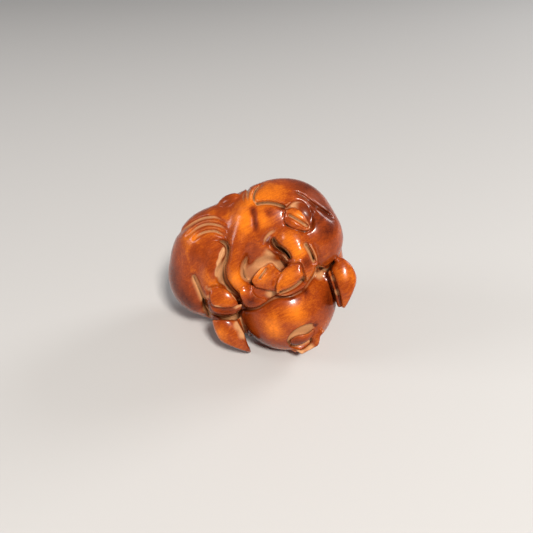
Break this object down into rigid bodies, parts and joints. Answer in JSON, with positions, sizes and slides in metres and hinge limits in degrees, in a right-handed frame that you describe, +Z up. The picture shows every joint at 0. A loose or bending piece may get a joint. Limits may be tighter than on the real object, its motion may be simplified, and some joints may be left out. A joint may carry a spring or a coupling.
{
  "type": "wooden pig carving",
  "caption": "Small solid wood carving of a pig curled up on its back, legs folded on its belly, head low with an open mouth and leaf-shaped ears.",
  "frame": {"origin": "centre of the bounding box's bottom, on the surface that the carving rests on", "axes": "+Z up, +X to the right of the side with the belly, hooves and face, +Y away from that side"},
  "size_m": [0.046, 0.0331, 0.0415],
  "materials": {
    "boxwood": "polished boxwood stained a glossy red-brown, matte tan in the cuts"
  },
  "bodies": {
    "root": {"pig_carving": "boxwood"}
  },
  "joints": []
}
